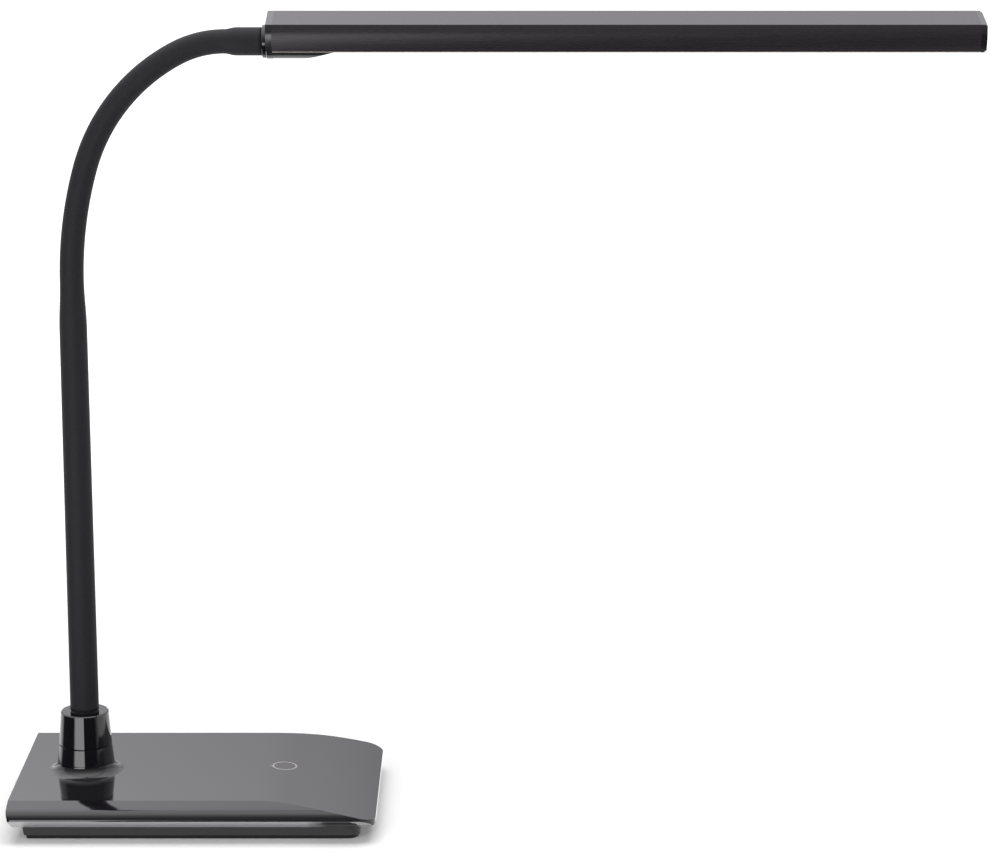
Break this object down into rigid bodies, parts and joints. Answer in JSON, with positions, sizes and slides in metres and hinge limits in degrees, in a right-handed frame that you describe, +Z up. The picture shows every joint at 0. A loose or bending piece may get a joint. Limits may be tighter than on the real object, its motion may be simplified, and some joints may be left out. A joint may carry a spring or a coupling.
{
  "type": "gooseneck desk lamp",
  "caption": "Desk lamp with a slim light bar that rolls on the end of a bendable gooseneck, over a weighted rectangular base with a touch dimmer.",
  "frame": {"origin": "centre of the non-slip pad's underside, on the desk", "axes": "+X from the neck's side of the base towards the far end of the light bar, +Y to the back, +Z up"},
  "size_m": [0.4722, 0.118, 0.3985],
  "materials": {
    "gloss_black": "polished black",
    "satin_black": "fine satin",
    "rubber_black": "matte",
    "ballast_steel": "zinc plated",
    "gooseneck_steel": "wound steel hose",
    "screw_steel": "zinc plated",
    "spring_bronze": "rolled",
    "anodised_dark": "dark anodised, satin",
    "board_green": "solder resist",
    "board_white": "white solder resist",
    "part_black": "moulded",
    "jack_black": "moulded",
    "foam_grey": "conductive foam",
    "lead_black": "smooth jacket",
    "led_yellow": "phosphor",
    "diffuser_milky": "milky, satin"
  },
  "bodies": {
    "base": {"base_shell": "gloss_black", "base_tray": "satin_black", "non_slip_pad": "rubber_black", "ballast_plate": "ballast_steel", "cover_screws": "screw_steel", "control_board": "board_green", "driver_parts": "part_black", "board_screws": "screw_steel", "touch_electrode": "foam_grey", "inlet_jack": "jack_black", "inlet_lead": "lead_black", "neck_collar": "gloss_black", "root_ferrule": "satin_black", "root_washer": "screw_steel", "root_nut": "screw_steel", "core_00": "gooseneck_steel", "sleeve_00": "rubber_black", "led_lead": "lead_black"},
    "neck_01": {"core_01": "gooseneck_steel", "sleeve_01": "rubber_black"},
    "neck_02": {"core_02": "gooseneck_steel", "sleeve_02": "rubber_black"},
    "neck_03": {"core_03": "gooseneck_steel", "sleeve_03": "rubber_black"},
    "neck_04": {"core_04": "gooseneck_steel", "sleeve_04": "rubber_black"},
    "neck_05": {"core_05": "gooseneck_steel", "sleeve_05": "rubber_black"},
    "neck_06": {"core_06": "gooseneck_steel", "sleeve_06": "rubber_black"},
    "neck_07": {"core_07": "gooseneck_steel", "sleeve_07": "rubber_black"},
    "neck_08": {"core_08": "gooseneck_steel", "sleeve_08": "rubber_black"},
    "neck_09": {"core_09": "gooseneck_steel", "sleeve_09": "rubber_black"},
    "neck_10": {"core_10": "gooseneck_steel", "sleeve_10": "rubber_black"},
    "neck_11": {"core_11": "gooseneck_steel", "sleeve_11": "rubber_black", "top_ferrule": "gooseneck_steel", "end_ring": "gloss_black", "friction_washer": "spring_bronze", "ring_nut": "screw_steel"},
    "head": {"head_carrier": "satin_black", "carrier_screws": "screw_steel", "head_profile": "anodised_dark", "right_cap": "satin_black", "right_cap_screws": "screw_steel", "led_board": "board_white", "leds": "led_yellow", "diffuser": "diffuser_milky"}
  },
  "joints": [
    {"name": "neck_lean", "type": "hinge", "parent": "base", "child": "neck_01", "pos_m": [-0.0576, 0, 0.08], "axis": [0, 1, 0], "range_deg": [-12, 8], "deforming": ["led_lead"]},
    {"name": "neck_sway", "type": "hinge", "parent": "neck_01", "child": "neck_02", "pos_m": [-0.0576, 0, 0.12695], "axis": [1, 0, 0], "range_deg": [-12, 12], "deforming": ["led_lead"]},
    {"name": "neck_lean_2", "type": "hinge", "parent": "neck_02", "child": "neck_03", "pos_m": [-0.0576, 0, 0.1739], "axis": [0, 1, 0], "range_deg": [-12, 8], "deforming": ["led_lead"]},
    {"name": "neck_sway_2", "type": "hinge", "parent": "neck_03", "child": "neck_04", "pos_m": [-0.0576, 0, 0.22085], "axis": [1, 0, 0], "range_deg": [-12, 12], "deforming": ["led_lead"]},
    {"name": "neck_lean_3", "type": "hinge", "parent": "neck_04", "child": "neck_05", "pos_m": [-0.0576, 0, 0.2678], "axis": [0, 1, 0], "range_deg": [-12, 8], "deforming": ["led_lead"]},
    {"name": "neck_curl", "type": "hinge", "parent": "neck_05", "child": "neck_06", "pos_m": [-0.05556, 0, 0.29613], "axis": [0, 1, 0], "range_deg": [-18, 4], "deforming": ["led_lead"]},
    {"name": "neck_curl_2", "type": "hinge", "parent": "neck_06", "child": "neck_07", "pos_m": [-0.04947, 0, 0.32387], "axis": [0, 1, 0], "range_deg": [-18, 4], "deforming": ["led_lead"]},
    {"name": "neck_sway_3", "type": "hinge", "parent": "neck_07", "child": "neck_08", "pos_m": [-0.03958, 0, 0.34596], "axis": [0.8505, 0, -0.526], "range_deg": [-12, 12], "deforming": ["led_lead"]},
    {"name": "neck_curl_3", "type": "hinge", "parent": "neck_08", "child": "neck_09", "pos_m": [-0.02424, 0, 0.36467], "axis": [0, 1, 0], "range_deg": [-18, 4], "deforming": ["led_lead"]},
    {"name": "neck_curl_4", "type": "hinge", "parent": "neck_09", "child": "neck_10", "pos_m": [-0.00451, 0, 0.3787], "axis": [0, 1, 0], "range_deg": [-18, 4], "deforming": ["led_lead"]},
    {"name": "neck_curl_5", "type": "hinge", "parent": "neck_10", "child": "neck_11", "pos_m": [0.0189, 0, 0.38449], "axis": [0, 1, 0], "range_deg": [-18, 4], "deforming": ["led_lead"]},
    {"name": "head_roll", "type": "hinge", "parent": "neck_11", "child": "head", "pos_m": [0.0371, 0, 0.38449], "axis": [1, 0, 0], "range_deg": [-103.3, 76.7], "deforming": ["led_lead"]}
  ],
  "couplings": [
    {"joint": "neck_lean_2", "follows": "neck_lean", "ratio": 1},
    {"joint": "neck_sway_2", "follows": "neck_sway", "ratio": 1},
    {"joint": "neck_lean_3", "follows": "neck_lean", "ratio": 1},
    {"joint": "neck_curl_2", "follows": "neck_curl", "ratio": 1},
    {"joint": "neck_sway_3", "follows": "neck_sway", "ratio": 1},
    {"joint": "neck_curl_3", "follows": "neck_curl", "ratio": 1},
    {"joint": "neck_curl_4", "follows": "neck_curl", "ratio": 1},
    {"joint": "neck_curl_5", "follows": "neck_curl", "ratio": 1}
  ]
}
